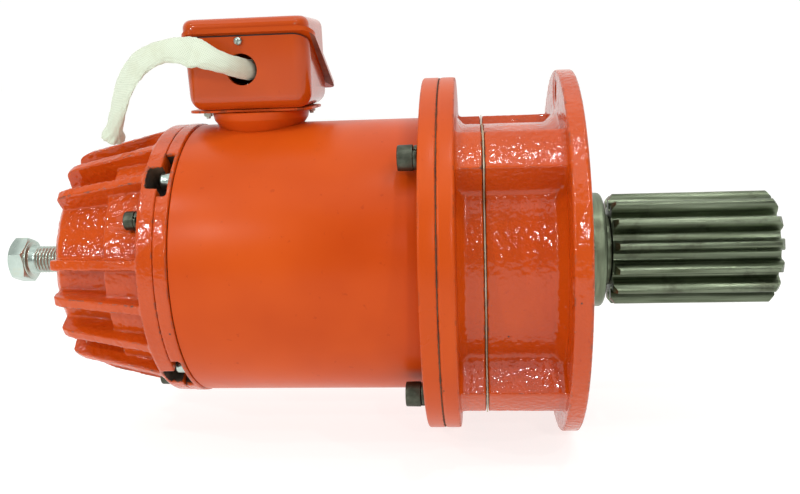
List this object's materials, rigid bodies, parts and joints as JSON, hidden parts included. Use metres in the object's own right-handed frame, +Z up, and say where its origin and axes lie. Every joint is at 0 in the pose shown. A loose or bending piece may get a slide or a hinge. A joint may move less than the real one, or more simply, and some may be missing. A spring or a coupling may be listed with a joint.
{
  "type": "geared dc motor",
  "caption": "Flange-mounted geared dc motor with a drive pinion, planetary gearbox, finned rear brake cover, top terminal box and woven lead sleeve.",
  "frame": {"origin": "on the shaft axis, in the plane of the gearbox's front mounting face", "axes": "+X along the shaft from the rear cover to the drive pinion, +Z up through the terminal box"},
  "size_m": [0.4406, 0.203, 0.2363],
  "materials": {
    "orange_enamel": "gloss enamel over cast iron and steel",
    "gasket_paper": "pale beige flange gasket",
    "gear_steel": "cut and ground",
    "oiled_dark_steel": "oiled, dark olive grey",
    "bearing_steel": "ground",
    "black_fastener": "blackened",
    "zinc_steel": "zinc plated",
    "seal_rubber": "matte black",
    "magnet_ferrite": "sintered ferrite",
    "core_laminations": "stacked sheet edges",
    "winding_copper": "copper, varnished",
    "phenolic": "moulded phenolic",
    "brass": "plain",
    "brush_carbon": "carbon graphite",
    "friction_lining": "brake lining",
    "woven_sleeve": "off-white woven glass sleeve"
  },
  "bodies": {
    "housing": {"gearbox_housing": "orange_enamel", "gearbox_cover": "orange_enamel", "front_end_shield": "orange_enamel", "motor_body": "orange_enamel", "rear_end_shield": "orange_enamel", "rear_cover": "orange_enamel", "box_pedestal": "orange_enamel", "terminal_box": "orange_enamel", "terminal_box_lid": "orange_enamel", "gearbox_gasket": "gasket_paper", "ring_gear": "gear_steel", "output_bearing_cap": "oiled_dark_steel", "brake_magnet": "oiled_dark_steel", "output_bearing_inner": "bearing_steel", "output_bearing_outer": "bearing_steel", "armature_bearing_front": "bearing_steel", "armature_bearing_rear": "bearing_steel", "brake_spring": "bearing_steel", "flange_screw_1": "black_fastener", "flange_screw_2": "black_fastener", "flange_screw_3": "black_fastener", "flange_screw_4": "black_fastener", "cover_screw_1": "black_fastener", "cover_screw_2": "black_fastener", "cover_screw_3": "black_fastener", "cover_screw_4": "black_fastener", "box_plate": "zinc_steel", "lid_screw": "zinc_steel", "output_oil_seal": "seal_rubber", "armature_oil_seal": "seal_rubber", "lid_gasket": "seal_rubber", "field_magnet_1": "magnet_ferrite", "field_magnet_2": "magnet_ferrite", "brake_coil": "winding_copper", "brush_ring": "phenolic", "terminal_block": "phenolic", "brush_holder_1": "brass", "brush_holder_2": "brass", "brush_1": "brush_carbon", "brush_2": "brush_carbon", "lead_sleeve": "woven_sleeve"},
    "armature": {"armature_shaft": "bearing_steel", "armature_core": "core_laminations", "armature_winding": "winding_copper", "commutator": "winding_copper", "sun_gear": "gear_steel", "brake_hub": "bearing_steel", "brake_disc": "friction_lining"},
    "output": {"output_shaft": "oiled_dark_steel", "planet_carrier": "gear_steel", "drive_pinion": "oiled_dark_steel", "pinion_key": "black_fastener", "pinion_circlip": "black_fastener"},
    "planet_1": {"planet_gear_1": "gear_steel"},
    "planet_2": {"planet_gear_2": "gear_steel"},
    "planet_3": {"planet_gear_3": "gear_steel"},
    "pressure_plate": {"brake_pressure_plate": "bearing_steel"},
    "bolt_carriage": {"spring_seat": "bearing_steel"},
    "adjusting_bolt": {"adjusting_bolt": "zinc_steel"}
  },
  "joints": [
    {"name": "armature_spin", "type": "hinge", "parent": "housing", "child": "armature", "pos_m": [0, 0, 0], "axis": [1, 0, 0], "continuous": true},
    {"name": "output_spin", "type": "hinge", "parent": "housing", "child": "output", "pos_m": [0, 0, 0], "axis": [1, 0, 0], "continuous": true},
    {"name": "planet_spin_1", "type": "hinge", "parent": "output", "child": "planet_1", "pos_m": [0, 0, 0.039], "axis": [1, 0, 0], "continuous": true},
    {"name": "planet_spin_2", "type": "hinge", "parent": "output", "child": "planet_2", "pos_m": [0, -0.03377, -0.0195], "axis": [1, 0, 0], "continuous": true},
    {"name": "planet_spin_3", "type": "hinge", "parent": "output", "child": "planet_3", "pos_m": [0, 0.03377, -0.0195], "axis": [1, 0, 0], "continuous": true},
    {"name": "pressure_plate_travel", "type": "slide", "parent": "housing", "child": "pressure_plate", "axis": [1, 0, 0], "range_m": [0, 0.0004]},
    {"name": "adjusting_bolt_travel", "type": "slide", "parent": "housing", "child": "bolt_carriage", "axis": [-1, 0, 0], "range_m": [0, 0.006]},
    {"name": "adjusting_bolt_turn", "type": "hinge", "parent": "bolt_carriage", "child": "adjusting_bolt", "pos_m": [0, 0, 0], "axis": [-1, 0, 0], "range_deg": [0, 1080]}
  ],
  "couplings": [
    {"joint": "output_spin", "follows": "armature_spin", "ratio": 0.23077},
    {"joint": "planet_spin_1", "follows": "armature_spin", "ratio": -0.65934},
    {"joint": "planet_spin_2", "follows": "armature_spin", "ratio": -0.65934},
    {"joint": "planet_spin_3", "follows": "armature_spin", "ratio": -0.65934},
    {"joint": "adjusting_bolt_turn", "follows": "adjusting_bolt_travel", "rad_per_m": 3141.6}
  ]
}
